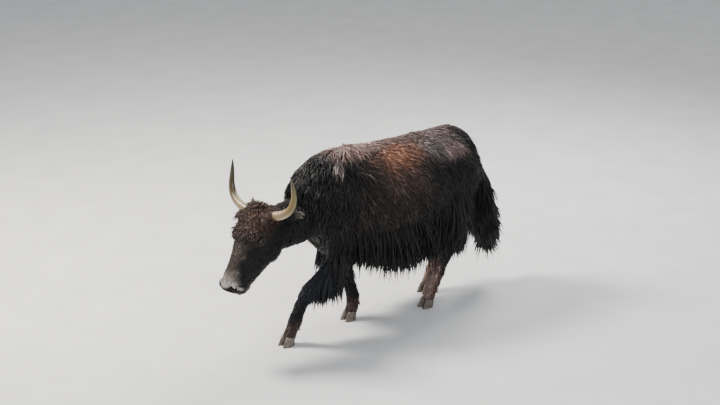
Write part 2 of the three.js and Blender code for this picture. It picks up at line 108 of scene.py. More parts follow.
LEGS = {
    "foreleg_left": [
        (0.52, 0.118, 0.81, 0.105, 0.115, 0.07),
        (0.52, 0.156, 0.7, 0.1, 0.112, 0.076),
        (0.536, 0.158, 0.599, 0.082, 0.09, 0.066),
        (0.556, 0.146, 0.501, 0.062, 0.066, 0.052),
        (0.638, 0.126, 0.408, 0.05, 0.052, 0.044),
        (0.717, 0.108, 0.328, 0.048, 0.048, 0.046),
        (0.754, 0.093, 0.263, 0.04, 0.044, 0.041),
        (0.78, 0.081, 0.195, 0.038, 0.042, 0.039),
        (0.8, 0.07, 0.133, 0.041, 0.046, 0.043),
        (0.82, 0.063, 0.086, 0.037, 0.041, 0.041),
        (0.839, 0.058, 0.042, 0.038, 0.038, 0.042),
    ],
    "foreleg_right": [
        (0.5, -0.118, 0.81, 0.105, 0.115, 0.07),
        (0.495, -0.156, 0.7, 0.1, 0.112, 0.076),
        (0.469, -0.154, 0.599, 0.082, 0.09, 0.066),
        (0.421, -0.132, 0.501, 0.062, 0.066, 0.052),
        (0.363, -0.104, 0.413, 0.05, 0.052, 0.044),
        (0.319, -0.082, 0.335, 0.049, 0.049, 0.046),
        (0.289, -0.067, 0.268, 0.042, 0.045, 0.042),
        (0.268, -0.051, 0.197, 0.039, 0.043, 0.04),
        (0.26, -0.04, 0.133, 0.042, 0.047, 0.044),
        (0.266, -0.033, 0.086, 0.038, 0.041, 0.041),
        (0.282, -0.03, 0.042, 0.038, 0.038, 0.042),
    ],
    "hindleg_left": hindleg([
        (-0.43, 0.11), (-0.41, 0.152), (-0.385, 0.165), (-0.399, 0.161), (-0.429, 0.151), (-0.441, 0.142),
        (-0.416, 0.133), (-0.376, 0.127), (-0.332, 0.122), (-0.296, 0.119), (-0.274, 0.117), (-0.254, 0.117),
    ]),
    "hindleg_right": hindleg([
        (-0.44, -0.11), (-0.43, -0.152), (-0.44, -0.165), (-0.497, -0.157), (-0.553, -0.141),
        (-0.591, -0.128), (-0.578, -0.117), (-0.544, -0.107), (-0.502, -0.098), (-0.466, -0.093),
        (-0.44, -0.09), (-0.418, -0.088),
    ]),
}
DOCK = [
    (-0.64, 0, 1.076, 0.034, 0.034, 0.036),
    (-0.668, 0.004, 0.99, 0.05, 0.042, 0.05),
    (-0.706, 0.008, 0.88, 0.06, 0.048, 0.064),
    (-0.748, 0.014, 0.73, 0.076, 0.056, 0.082),
    (-0.79, 0.022, 0.57, 0.084, 0.058, 0.09),
    (-0.822, 0.028, 0.44, 0.062, 0.048, 0.068),
    (-0.838, 0.031, 0.366, 0.02, 0.016, 0.02),
]

POLL = Vector((1.048, 0.05, 0.948))
HEAD_TURN = math.radians(9)
HEAD_NOD = math.radians(51)
BODY_FRAME = Matrix.Translation(-MIDDLE)
LEVEL_HEAD = BODY_FRAME @ Matrix.Translation(POLL) @ Matrix.Rotation(HEAD_TURN, 4, "Z")
HEAD_FRAME = LEVEL_HEAD @ Matrix.Rotation(HEAD_NOD, 4, "Y")


def rise(low, high, value):
    """0 below low, 1 above high, with a soft rise between them."""
    part = np.clip((np.asarray(value, float) - low) / (high - low), 0, 1)
    return part * part * (3 - 2 * part)


def unit(vectors):
    """The vectors, each made one unit long."""
    return vectors / np.maximum(np.linalg.norm(vectors, axis=-1, keepdims=True), 1e-9)


def placed(matrix, points):
    """Points of one frame, in the frame that the matrix leads to."""
    return points @ np.array(matrix.to_3x3()).T + np.array(matrix.translation)


class Form:
    """A trunk or limb through cross-sections. Its skin lies inside them by the depth of the coat."""

    def __init__(self, rows, matrix, depth, peak=0.0):
        self.rows = np.array(rows, float)
        self.matrix = matrix
        self.depth = np.broadcast_to(depth, len(rows))
        self.peak = peak

    def curve(self, values, t):
        """A Catmull-Rom curve through the values, at each t from 0 to 1."""
        last = len(values) - 1
        place = np.clip(np.asarray(t, float), 0, 1) * last
        i = np.minimum(place.astype(int), last - 1)
        u = (place - i)[:, None]
        ends = np.array([2 * values[0] - values[1], *values, 2 * values[-1] - values[-2]])
        a, b, c, d = ends[i], ends[i + 1], ends[i + 2], ends[i + 3]
        return 0.5 * (2 * b + (c - a) * u + (2 * a - 5 * b + 4 * c - d) * u**2
                      + (3 * b - a - 3 * c + d) * u**3)

    def surface(self, t, angle, outside=0.0):
        """Points on the skin, or outside it, in the model's frame."""
        t, angle = np.broadcast_arrays(np.asarray(t, float), np.asarray(angle, float))
        spine = self.curve(self.rows[:, :3], t)
        along = unit(self.curve(self.rows[:, :3], t + 0.004) - self.curve(self.rows[:, :3], t - 0.004))
        side = unit(np.array([0.0, 1.0, 0.0]) - along * along[:, 1:2])
        upper = np.cross(along, side)
        half = self.curve(self.rows[:, 3:] - self.depth[:, None], t)
        half = half + np.broadcast_to(outside, t.shape)[:, None]
        up, out = np.cos(angle), np.sin(angle)
        ridge = 1 - self.peak * np.maximum(0, up) ** 2
        tall = np.where(up > 0, half[:, 0], half[:, 1])
        points = spine + upper * (up * tall)[:, None] + side * (out * half[:, 2] * ridge)[:, None]
        return placed(self.matrix, points)

    def shell(self, rings, around):
        """The form as a closed mesh: rings of vertices, bridged, with a cap at each end."""
        shape = bmesh.new()
        angles = np.arange(around) * 2 * np.pi / around
        edges = []
        for t in np.linspace(0, 1, rings):
            ring = bmesh.ops.create_circle(shape, radius=1, segments=around)["verts"]
            for vert, point in zip(ring, self.surface(np.full(around, t), angles)):
                vert.co = point
            edges.append(list({edge for vert in ring for edge in vert.link_edges}))
        for one, next_one in zip(edges, edges[1:]):
            bmesh.ops.bridge_loops(shape, edges=one + next_one)
        for end in (edges[0], edges[-1]):
            bmesh.ops.contextual_create(shape, geom=end)
        bmesh.ops.recalc_face_normals(shape, faces=shape.faces)
        return shape


def leg_coat(rows):
    """The depth of the coat along a leg: short on the shank, long above the knee or hock."""
    return 0.003 + 0.012 * rise(0.3, 0.55, [row[2] for row in rows])


FORMS = {
    "trunk": Form(TRUNK, BODY_FRAME, 0.015, 0.3),
    "neck": Form(NECK, BODY_FRAME, 0.016, 0.25),
    "head": Form(HEAD, HEAD_FRAME, HEAD_COAT, 0.12),
    **{name: Form(rows, BODY_FRAME, leg_coat(rows)) for name, rows in LEGS.items()},
    "dock": Form(DOCK, BODY_FRAME, 0.012),
}
PARTS = list(FORMS)


def join(shapes):
    """Several bmeshes as one."""
    whole = bmesh.new()
    for shape in shapes:
        mesh = bpy.data.meshes.new("part")
        shape.to_mesh(mesh)
        whole.from_mesh(mesh)
        bpy.data.meshes.remove(mesh)
        shape.free()
    return whole


def as_object(name, shape):
    """A bmesh as an object of the scene, smooth shaded."""
    mesh = bpy.data.meshes.new(name)
    shape.to_mesh(mesh)
    shape.free()
    mesh.polygons.foreach_set("use_smooth", np.ones(len(mesh.polygons), bool))
    piece = bpy.data.objects.new(name, mesh)
    bpy.context.scene.collection.objects.link(piece)
    return piece


def melted(name, shapes, voxel, softening):
    """Closed shapes that overlap, melted into one surface and smoothed, as a bmesh."""
    piece = as_object(name, join(shapes))
    remesh = piece.modifiers.new("melt", "REMESH")
    remesh.mode = "VOXEL"
    remesh.voxel_size = voxel
    smooth = piece.modifiers.new("soften", "SMOOTH")
    smooth.factor = 0.5
    smooth.iterations = softening
    done = piece.evaluated_get(bpy.context.evaluated_depsgraph_get()).to_mesh()
    shape = bmesh.new()
    shape.from_mesh(done)
    bpy.data.objects.remove(piece)
    return shape


def ball(centre, halves, turn=0.0):
    """A ball stretched to three half axes, turned about Y in the head's frame."""
    shape = bmesh.new()
    place = (HEAD_FRAME @ Matrix.Translation(centre) @ Matrix.Rotation(math.radians(turn), 4, "Y")
             @ Matrix.Diagonal((*halves, 1)))
    bmesh.ops.create_uvsphere(shape, u_segments=24, v_segments=16, radius=1, matrix=place)
    return shape


# Skin: one hide over all the flesh, with brows, cheeks, lips, nose pads and ears raised on it, and nostrils,
# the line of the mouth and the eye sockets pressed in. Hair hides it nearly everywhere, and it is bare only
# round the nostrils and lips and on the lids.
EYE_AT = Vector((0.188, 0.102, -0.052))
EYE_RADIUS = 0.0176
EYE_TILT = math.radians(-18)
EAR_ROOT = Vector((0.03, 0.104, -0.09))
EAR_LENGTH, EAR_WIDTH, EAR_THICK = 0.176, 0.074, 0.009
EAR_SUNK = 0.024
EAR_RISE, EAR_SWEEP = math.radians(12), math.radians(45)
HEAD_VOXEL, BODY_VOXEL = 0.0042, 0.0095


def on_side(side, point):
    """A point of the head's left, or the point across from it."""
    return Vector((point.x, side * point.y, point.z))


def ear_turn(side):
    return Matrix.Rotation(HEAD_TURN + side * EAR_SWEEP, 4, "Z") @ Matrix.Rotation(side * EAR_RISE, 4, "X")


def ear(side):
    """A leaf of gristle and skin, rolled to a cup that faces forwards."""
    shape = bmesh.new()
    bmesh.ops.create_uvsphere(shape, u_segments=28, v_segments=22, radius=1)
    for vert in shape.verts:
        reach = vert.co.z
        slim = 1 - 0.45 * max(0, reach) ** 2
        across = vert.co.x * EAR_WIDTH / 2 * slim
        roll = 5.5 * across**2
        out = (reach + 1) / 2 * EAR_LENGTH - EAR_SUNK
        vert.co = Vector((vert.co.y * EAR_THICK / 2 + roll - 0.004, side * out, across))
    root = HEAD_FRAME @ on_side(side, EAR_ROOT)
    bmesh.ops.transform(shape, matrix=Matrix.Translation(root) @ ear_turn(side), verts=shape.verts)
    bmesh.ops.recalc_face_normals(shape, faces=shape.faces)
    return shape


# The chin, and on each side the brow, the fold below it, the cheek, the wing of the nose, the lip and ear.
face_shapes = [FORMS["head"].shell(44, 56), ball((0.472, 0, -0.19), (0.048, 0.054, 0.032), -8)]
for side in (1, -1):
    face_shapes += [
        ball((0.178, side * 0.08, -0.026), (0.05, 0.026, 0.02), -6),
        ball((0.196, side * 0.088, -0.088), (0.04, 0.022, 0.016), 8),
        ball((0.19, side * 0.078, -0.185), (0.085, 0.04, 0.075), 12),
        ball((0.5, side * 0.048, -0.088), (0.033, 0.031, 0.028), 20),
        ball((0.482, side * 0.034, -0.155), (0.046, 0.04, 0.022), 4),
        ear(side),
    ]
NECK_CUT = BODY_FRAME @ Vector((0.88, 0.016, 0.78))
NECK_WAY = Vector((0.985, 0.17, 0)).normalized()


def cut(shape, keep_front):
    """Keeps what lies on one side of the cut across the neck."""
    geometry = list(shape.verts) + list(shape.edges) + list(shape.faces)
    bmesh.ops.bisect_plane(shape, geom=geometry, plane_co=NECK_CUT, plane_no=NECK_WAY,
                           clear_inner=keep_front, clear_outer=not keep_front)
    return shape


head_half = cut(melted("head_half", [*face_shapes, FORMS["neck"].shell(20, 40)], HEAD_VOXEL, 4), True)
body_half = cut(melted("body_half", [FORMS[name].shell(60 if name == "trunk" else 30, 48)
                                     for name in PARTS], BODY_VOXEL, 10), False)
hide = join([head_half, body_half])
bmesh.ops.bridge_loops(hide, edges=[edge for edge in hide.edges if edge.is_boundary])
SEAM_HALF, SEAM_REACH = 0.012, 0.25
seam = [vert for vert in hide.verts if abs((vert.co - NECK_CUT).dot(NECK_WAY)) < SEAM_HALF
        and (vert.co - NECK_CUT).length < SEAM_REACH]
for _ in range(6):
    bmesh.ops.smooth_vert(hide, verts=seam, factor=0.5, use_axis_x=True, use_axis_y=True, use_axis_z=True)
bmesh.ops.recalc_face_normals(hide, faces=hide.faces)


# What is pressed into the left of the head: the nostril, the groove round its wing, the eye socket and the
# front corner of the eye. Each has a centre, half axes, the way in and a depth, in the head's frame.
PRESSED = [
    ((0.538, 0.04, -0.09), (0.022, 0.015, 0.013), (-1, -0.5, -0.2), 0.022),
    ((0.512, 0.062, -0.1), (0.022, 0.014, 0.007), (-0.4, -1, 0), 0.007),
    ((EYE_AT.x, EYE_AT.y + 0.004, EYE_AT.z), (0.026, 0.02, 0.016), (0, -1, 0), 0.007),
    ((EYE_AT.x + 0.034, EYE_AT.y - 0.006, EYE_AT.z - 0.01), (0.02, 0.016, 0.009), (0, -1, 0), 0.006),
]
MOUTH_DEPTH = 0.008
head_axes = np.array(HEAD_FRAME.to_3x3())


def on_face(points):
    """Points of the model's frame, in the head's own."""
    return placed(HEAD_FRAME.inverted(), points)


def from_mouth(where):
    """How far above or below the line of the mouth points of the head's frame are."""
    line = -0.174 + 0.1 * (where[:, 0] - 0.482) - 0.9 * np.maximum(0, 0.43 - where[:, 0]) ** 1.3
    return np.abs(where[:, 2] - line)


hide_points = np.array([vert.co for vert in hide.verts])
for side in (1, -1):
    for centre, halves, way, depth in PRESSED:
        inside = on_face(hide_points) - np.array(centre) * [1, side, 1]
        near = 1 - rise(0.2, 1.0, np.linalg.norm(inside / np.array(halves), axis=1))
        hide_points += head_axes @ unit(np.array(way) * [1.0, side, 1]) * (near * depth)[:, None]
head_points = on_face(hide_points)
near_lips = 1 - rise(0.002, 0.0085, from_mouth(head_points))
near_lips *= rise(0.395, 0.425, head_points[:, 0]) * (head_points[:, 0] < 0.56)
level_way = np.zeros(len(head_points))
inward = unit(np.stack([level_way - 0.35, -np.sign(head_points[:, 1]), level_way], 1)) @ head_axes.T
hide_points += inward * (MOUTH_DEPTH * near_lips)[:, None]
for vert, point in zip(hide.verts, hide_points):
    vert.co = point


def lid(side, upper):
    """A fold of skin that follows the eyeball's edge, from corner to corner."""
    shape = bmesh.new()
    centre = on_side(side, EYE_AT)
    rings = []
    for turn in np.linspace(0, math.pi, 17):
        open_by = 0.0125 if upper else 0.0095
        way = Vector((-math.cos(turn) * 0.0215, side * (0.013 + 0.006 * math.sin(turn)),
                      (1 if upper else -1) * math.sin(turn) * open_by - 0.002 * math.cos(turn)))
        thick = 0.0022 + (0.0031 if upper else 0.0015) * math.sin(turn)
        ring = bmesh.ops.create_circle(shape, radius=thick, segments=10,
                                       matrix=Matrix.Translation(centre + way)
                                       @ Matrix.Rotation(math.radians(90), 4, "Y")
                                       @ Matrix.Rotation(turn - math.pi / 2, 4, "X"))["verts"]
        rings.append(list({edge for vert in ring for edge in vert.link_edges}))
    for one, next_one in zip(rings, rings[1:]):
        bmesh.ops.bridge_loops(shape, edges=one + next_one)
    for end in (rings[0], rings[-1]):
        bmesh.ops.contextual_create(shape, geom=end)
    bmesh.ops.recalc_face_normals(shape, faces=shape.faces)
    tilt = Matrix.Translation(centre) @ Matrix.Rotation(EYE_TILT, 4, "Y") @ Matrix.Translation(-centre)
    bmesh.ops.transform(shape, matrix=HEAD_FRAME @ tilt, verts=shape.verts)
    return shape


lids = [lid(side, upper) for side in (1, -1) for upper in (True, False)]
skin = as_object("skin", join([hide, *lids]))

# Each point of the skin knows which form lies below it, how far along and round that form it is, and which
# way the hair there lies.
EARS = len(PARTS)


def hair_way(name, t, angle, side):
    """The way that hair grows on a form, before it is laid along the skin."""
    high = np.maximum(0, np.cos(angle))
    still = np.zeros_like(high)
    if name == "trunk":
        back = np.stack([-0.45 - 0.45 * high, side * 0.55 * high, -1 + 0.3 * high], 1)
        mane = np.stack([0.3 + 0.3 * high, side * 0.6 * high, -1 + 0.1 * high], 1)
        rump = np.stack([-0.55 + still, side * 0.15, -1 + still], 1)
        way = back + (mane - back) * rise(0.6, 0.72, t)[:, None]
        way = way + (rump - way) * (1 - rise(0.04, 0.2, t))[:, None]
        under = rise(1.7, 2.3, np.abs(angle))[:, None]
        return way * (1 - under) + np.stack([-0.12 + still, -0.25 * side, -1 + still], 1) * under
    if name == "neck":
        return np.stack([0.2 + 0.25 * high, side * 0.5 * high, -1 + still], 1)
    if name == "head":
        front = rise(-0.1, 0.5, np.cos(angle))
        down_face = np.stack([1 + still, side * 0.25 * (1 - t), -0.1 + still], 1)
        cheek = np.stack([-0.35 + still, still, -1 + still], 1)
        way = cheek + (down_face - cheek) * front[:, None]
        return way @ head_axes.T
    if name == "dock":
        return np.stack([-0.3 + still, 0.06 + still, -1 + still], 1)
    ahead = unit(FORMS[name].surface(np.minimum(t + 0.03, 1), angle) - FORMS[name].surface(t - 0.004, angle))
    behind = rise(0.9, 1.9, np.abs(angle))[:, None]
    return ahead * (1 - behind) + np.stack([-0.12 + still, still, -1 + still], 1) * behind


grid_t, grid_angle = np.meshgrid(np.linspace(0.004, 0.996, 70), np.linspace(-np.pi, np.pi, 49)[:-1])
grid_t, grid_angle = grid_t.ravel(), grid_angle.ravel()
samples = [FORMS[name].surface(grid_t, grid_angle) for name in PARTS]
ways = [hair_way(name, grid_t, grid_angle, np.sign(np.sin(grid_angle))) for name in PARTS]
sample_points, sample_ways = np.concatenate(samples), np.concatenate(ways)
tree = KDTree(len(sample_points))
for i, point in enumerate(sample_points):
    tree.insert(point, i)
tree.balance()

mesh = skin.data
mesh.calc_loop_triangles()


def read(values, name, kind=float):
    """Three numbers for each item of a mesh."""
    out = np.empty(len(values) * 3, kind)
    values.foreach_get(name, out)
    return out.reshape(-1, 3)


points, normals = read(mesh.vertices, "co"), read(mesh.vertex_normals, "vector")
corners = read(mesh.loop_triangles, "vertices", np.int32)
found = [tree.find_n(point, 4) for point in points]
nearest = np.array([hits[0][1] for hits in found])
distance = np.array([hits[0][2] for hits in found])
part, on_grid = nearest // len(grid_t), nearest % len(grid_t)
t_at, angle_at = grid_t[on_grid], grid_angle[on_grid]
lies = np.array([sum((sample_ways[i] for _, i, _ in hits), np.zeros(3)) for hits in found])

in_head = on_face(points)
level = placed(LEVEL_HEAD.inverted(), points)
ear_side = np.where(level[:, 1] > 0, 1.0, -1.0)
ear_roots = np.array([HEAD_FRAME @ on_side(side, EAR_ROOT) for side in (1, -1)])
from_ear_root = points - np.where(ear_side[:, None] > 0, ear_roots[0], ear_roots[1])
ear_ways = np.array([ear_turn(side) @ Vector((0, side, 0)) for side in (1, -1)])
ear_way = np.where(ear_side[:, None] > 0, ear_ways[0], ear_ways[1])
ear_reach = np.einsum("ij,ij->i", from_ear_root, ear_way) / (EAR_LENGTH - EAR_SUNK)
is_ear = (part == PARTS.index("head")) & (distance > 0.012) & (ear_reach > 0.12) & (in_head[:, 0] < 0.16)
part[is_ear] = EARS
lies[is_ear] = ear_way[is_ear]
lies -= normals * np.einsum("ij,ij->i", lies, normals)[:, None]
sure = rise(0.3, 1.5, np.linalg.norm(lies, axis=1))
lies = unit(lies)


# Markings: black hair, bleached by the sun to a rusty brown high on the flank and along the spine, ashy on
# the rump, brown on the brow and shanks, with a pale muzzle. Painted light is laid over it: a painted slate
# sheen on the long hair of the legs, painted highlights of sun on the hump, the top of the rump, the nose and
# the fronts of the hind pasterns, and painted shade under the belly and breast. Each patch has a shade, a
# strength, a centre, half axes and a softness, and is the same on both sides.
PATCHES_AND_HIGHLIGHTS = [
    ((0.022, 0.017, 0.013), 0.8, (0.12, 0.27, 0.86), (0.36, 0.2, 0.2), 0.6),
    ((0.06, 0.048, 0.032), 0.4, (0.24, 0.27, 0.64), (0.09, 0.1, 0.05), 0.6),
    ((0.062, 0.036, 0.028), 0.8, (0.01, 0.2, 1.06), (0.24, 0.2, 0.15), 0.5),
    ((0.16, 0.066, 0.038), 0.9, (0.02, 0.15, 1.12), (0.18, 0.15, 0.1), 0.45),
    ((0.33, 0.15, 0.092), 0.6, (0.03, 0.13, 1.13), (0.12, 0.11, 0.06), 0.6),
    ((0.29, 0.185, 0.16), 0.9, (0.19, 0, 1.18), (0.21, 0.09, 0.06), 0.5),
    ((0.11, 0.062, 0.052), 0.8, (-0.25, 0.02, 1.17), (0.3, 0.1, 0.06), 0.5),
    ((0.13, 0.104, 0.096), 0.8, (-0.34, 0.12, 1.1), (0.15, 0.12, 0.08), 0.6),
    # The pinkish patch on top of the rump is ashy hair with a painted highlight of sun on it.
    ((0.26, 0.175, 0.16), 0.7, (-0.42, 0.16, 1.06), (0.09, 0.09, 0.035), 0.6),
    # The last patch, pale grey behind the hump, is a painted highlight: glints of sun on the mane.
    ((0.26, 0.21, 0.19), 0.6, (0.47, 0.12, 1.14), (0.035, 0.05, 0.06), 0.5),
]


def patchy(where, size, seed):
    """A soft, patchy value about 0 for each point, with patches of about the given size."""
    dice = np.random.default_rng(seed)
    waves = dice.normal(0, 1.9 / size, (9, 3))
    phases = dice.uniform(0, 2 * np.pi, 9)
    return np.sin(where @ waves.T + phases).mean(axis=1) * 1.6


def blob(where, centre, halves, soft=0.5):
    """1 within an ellipsoid, on either side of the animal, falling to 0 round it."""
    own = where + np.array(MIDDLE)
    own[:, 1] = np.abs(own[:, 1])
    reach = np.linalg.norm((own - np.array(centre)) / np.array(halves), axis=1)
    return 1 - rise(1 - soft, 1 + soft, reach + 0.35 * patchy(where, 0.12, 5))


def from_eye(where, halves):
    """How far points of the head's frame are from the nearer eye, in half axes round it."""
    return np.linalg.norm((np.abs(where - [EYE_AT.x, 0, EYE_AT.z]) - [0, EYE_AT.y, 0]) / halves, axis=1)


def markings_with_painted_light(where, part, t, angle):
    """The colour of the coat at each point, with painted sheen, highlights and shade laid on it."""
    own = where + np.array(MIDDLE)
    x, height, facing = own[:, 0], own[:, 2], np.cos(angle)
    colour = np.tile(np.array([0.0066, 0.0056, 0.0052]), (len(where), 1))

    def lay(shade, amount):
        colour[:] = colour + (np.array(shade) - colour) * np.clip(amount, 0, 1)[:, None]

    for shade, strength, centre, halves, soft in PATCHES_AND_HIGHLIGHTS:
        lay(shade, strength * blob(where, centre, halves, soft))
    trunk = part == PARTS.index("trunk")
    # Painted shade: under the belly and on the lower breast the black coat is painted darker still.
    belly = trunk * (1 - rise(0.56, 0.64, height)) * (np.abs(own[:, 1]) < 0.4)
    lay((0.004, 0.0036, 0.0036), 0.9 * belly * (1 - rise(0.42, 0.5, x)))
    breast = trunk * (1 - rise(0.68, 0.78, height)) * rise(0.46, 0.54, x)
    lay((0.0025, 0.0023, 0.0024), 0.9 * breast)

    leg = (part >= PARTS.index("foreleg_left")) & (part <= PARTS.index("hindleg_right"))
    hind = leg & (x < 0)
    # Painted sheen: a bluish slate on the long hair of the upper legs stands for the sky's sheen on black
    # hair.
    lay((0.013, 0.016, 0.023), 0.7 * leg * rise(0.2, 0.32, height) * (1 - rise(0.5, 0.62, height)))
    lay((0.07, 0.044, 0.036), 0.8 * leg * (1 - rise(0.09, 0.17, height)))
    lay((0.15, 0.084, 0.07), 0.6 * hind * (1 - rise(0.14, 0.26, height)))
    # The fronts of the hind pasterns are pinkish skin, painted paler as a painted highlight where the sun
    # falls on them.
    lay((0.34, 0.23, 0.195), 0.7 * hind * (1 - rise(0.18, 0.34, height)) * rise(0.2, 0.8, facing))

    head = (part == PARTS.index("head")) * 1.0
    face = on_face(where)
    down, out = face[:, 0], face[:, 2]
    ragged = 0.25 * patchy(where, 0.05, 21)
    lay((0.0085, 0.0075, 0.007), 0.95 * head * rise(0.15, 0.4, t))
    lay((0.048, 0.028, 0.021), 0.9 * head * (1 - rise(0.26, 0.46, t)) * rise(0.0, 0.5, facing))
    lay((0.08, 0.06, 0.05), 0.85 * head * rise(0.3, 0.5, t) * rise(0.55, 0.9, facing + ragged))
    # The muzzle is pale of its own, and made paler still on top of the nose and round the pad as a painted
    # highlight of sun.
    nose = rise(0.4, 0.485, down + 0.1 * ragged) * rise(0.2, 0.8, facing + ragged)
    lay((0.45, 0.38, 0.34), 0.85 * head * nose)
    around_pad = rise(0.484, 0.496, down) * rise(-0.14, -0.12, out)
    lay((0.54, 0.485, 0.44), 0.9 * head * around_pad)
    pad = rise(0.502, 0.507, down) * rise(-0.168, -0.158, out)
    lay((0.004, 0.0036, 0.0036), head * pad * (1 - rise(-0.062, -0.054, out)))
    chin = rise(0.43, 0.46, down) * (1 - rise(-0.186, -0.176, out))
    lay((0.15, 0.135, 0.12), 0.75 * head * chin)
    lips = rise(0.395, 0.425, down) * head
    lay((0.21, 0.19, 0.165), 0.6 * lips * (1 - rise(0.008, 0.016, from_mouth(face))))
    lay((0.005, 0.004, 0.004), 0.95 * lips * (1 - rise(0.003, 0.007, from_mouth(face))))
    for side in (1, -1):
        nostril = np.linalg.norm((face - [0.532, side * 0.04, -0.09]) / [0.03, 0.014, 0.012], axis=1)
        lay((0.003, 0.002, 0.002), head * (1 - rise(0.7, 1.0, nostril)))
    eyes = from_eye(face, (0.036, 0.03, 0.026))
    lay((0.1, 0.086, 0.078), 0.6 * head * (1 - rise(0.95, 1.3, eyes)))
    lay((0.01, 0.008, 0.007), 0.95 * head * (1 - rise(0.62, 0.82, eyes)))
    colour *= np.exp(0.3 * patchy(where, 0.07, 11) + 0.16 * patchy(where, 0.02, 12))[:, None]
    return colour


skin_colour = markings_with_painted_light(points, part, t_at, angle_at)


def paint(mesh, colour):
    """Stores a colour for each vertex, which the hair, skin and horn materials read."""
    layer = mesh.color_attributes.new("coat", "FLOAT_COLOR", "POINT")
    layer.data.foreach_set("color", np.column_stack([colour, np.ones(len(colour))]).ravel())


class Finish:
    """A material on the Principled shader, whose patterns follow Object coordinates or a strand's own map."""

    def __init__(self, name, roughness, specular):
        self.material = bpy.data.materials.new(name)
        self.material.use_nodes = True
        self.nodes, self.links = self.material.node_tree.nodes, self.material.node_tree.links
        self.shader = self.nodes["Principled BSDF"]
        self.fill(self.shader, {"Roughness": roughness, "Specular IOR Level": specular})
        self.where = self.nodes.new("ShaderNodeTexCoord").outputs["Object"]

    def fill(self, node, inputs):
        """Sets the inputs of a node to numbers and colours, or links them to what other nodes give."""
        for name, value in inputs.items():
            if isinstance(value, bpy.types.NodeSocket):
                self.links.new(value, node.inputs[name])
            else:
                node.inputs[name].default_value = value
        return node

    def node(self, kind, inputs):
        return self.fill(self.nodes.new("ShaderNode" + kind), inputs)

    def noise(self, scale, detail, where=None):
        where = self.where if where is None else where
        return self.node("TexNoise", {"Vector": where, "Scale": scale, "Detail": detail}).outputs["Fac"]

    def ranged(self, value, low, high, from_low=0.3, from_high=0.7):
        """A value mapped from one range to another."""
        return self.node("MapRange", {"Value": value, "From Min": from_low, "From Max": from_high,
                                      "To Min": low, "To Max": high}).outputs["Result"]

    def ramp(self, value, dark, light, first=0.0, last=1.0):
        """A colour between a dark and a light one, as a value goes from the first to the last."""
        node = self.node("ValToRGB", {"Fac": value})
        for end, shade, position in zip(node.color_ramp.elements, (dark, light), (first, last)):
            end.color = (*shade, 1)
            end.position = position
        return node.outputs["Color"]

    def colour(self, colour, value=None):
        """Gives the shader a colour, made lighter or darker by a value."""
        if value is not None:
            scaled = self.nodes.new("ShaderNodeVectorMath")
            scaled.operation = "SCALE"
            self.links.new(colour, scaled.inputs[0])
            self.links.new(value, scaled.inputs["Scale"])
            colour = scaled.outputs["Vector"]
        self.links.new(colour, self.shader.inputs["Base Color"])

    def painted(self, value):
        """Gives the shader the colour that is stored on the mesh, times a value."""
        stored = self.nodes.new("ShaderNodeAttribute")
        stored.attribute_name = "coat"
        self.colour(stored.outputs["Color"], value)

    def bump(self, height, strength, distance):
        node = self.node("Bump", {"Height": height, "Strength": strength, "Distance": distance})
        self.links.new(node.outputs["Normal"], self.shader.inputs["Normal"])


def finished(piece, finish):
    """Gives a piece its material, and ties it to the still body."""
    piece.data.materials.append(finish.material)
    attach(piece, "root")


SKIN_SHADE = 0.6
paint(mesh, skin_colour * SKIN_SHADE)
hide_finish = Finish("hide", 0.55, 0.14)
hide_finish.painted(hide_finish.ranged(hide_finish.noise(420, 6), 0.55, 1.3))
hide_finish.bump(hide_finish.noise(700, 3), 0.35, 0.002)
finished(skin, hide_finish)
FLESH = ["torso", "neck", "head", "ear_left", "ear_right", "tail"]
FLESH += [f"{leg_name}_{length}" for leg_name in LEGS for length in ("shank", "upper")]
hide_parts(*FLESH)

# Coat: tufts of hair, each a slim three-sided blade that is rooted in the skin and bends over along the lie
# of the hair. They are sown on the skin at random, in a number and size that suit each part of the body, and
# each has a small patch for its baked colour, at its root's place on the skin's unwrap.
CHARTS = {
    "trunk": (0.01, 0.01, 0.5, 0.98), "neck": (0.52, 0.01, 0.66, 0.3), "head": (0.52, 0.62, 0.98, 0.98),
    "foreleg_left": (0.68, 0.01, 0.98, 0.14), "foreleg_right": (0.68, 0.16, 0.98, 0.29),
    "hindleg_left": (0.68, 0.31, 0.98, 0.44), "hindleg_right": (0.68, 0.46, 0.98, 0.6),
    "dock": (0.52, 0.32, 0.66, 0.48), "ear": (0.52, 0.5, 0.66, 0.6),
}
PATCH_SIZE = 0.003
chart_rows = np.array([CHARTS[name] for name in [*PARTS, "ear"]])
corner_points = points[corners]
triangle_areas = np.linalg.norm(np.cross(corner_points[:, 1] - corner_points[:, 0],
                                         corner_points[:, 2] - corner_points[:, 0]), axis=1) / 2
own = points + np.array(MIDDLE)
trunk, neck, face, dock = [part == PARTS.index(name) for name in ("trunk", "neck", "head", "dock")]
leg = (part >= PARTS.index("foreleg_left")) & (part <= PARTS.index("hindleg_right"))
side_of = np.sign(own[:, 1])
turn_of = np.abs(angle_at)
SIDES = ((1, "left"), (-1, "right"))


def sow(weight, number):
    """Roots sown at random on the skin, as dense as the weight of each point of it says."""
    chance = weight[corners].mean(axis=1) * triangle_areas
    chosen = rng.choice(len(corners), number, p=chance / chance.sum())
    mix = rng.dirichlet((1, 1, 1), number)
    triangle = corners[chosen]

    def blend(values):
        return np.einsum("ij,ij...->i...", mix, values[triangle])

    first = triangle[:, 0]
    chart = chart_rows[part[first]]
    along = np.where(is_ear[first], np.clip(ear_reach[first], 0, 1), t_at[first])
    spot = np.stack([along, angle_at[first] / (2 * np.pi) + 0.5], 1)
    return {
        "root": blend(points), "normal": unit(blend(normals)), "lie": unit(blend(lies)),
        "colour": blend(skin_colour), "sure": blend(sure), "t": t_at[first], "turn": turn_of[first],
        "part": part[first], "chart": chart[:, :2] + spot * (chart[:, 2:] - chart[:, :2]),
    }


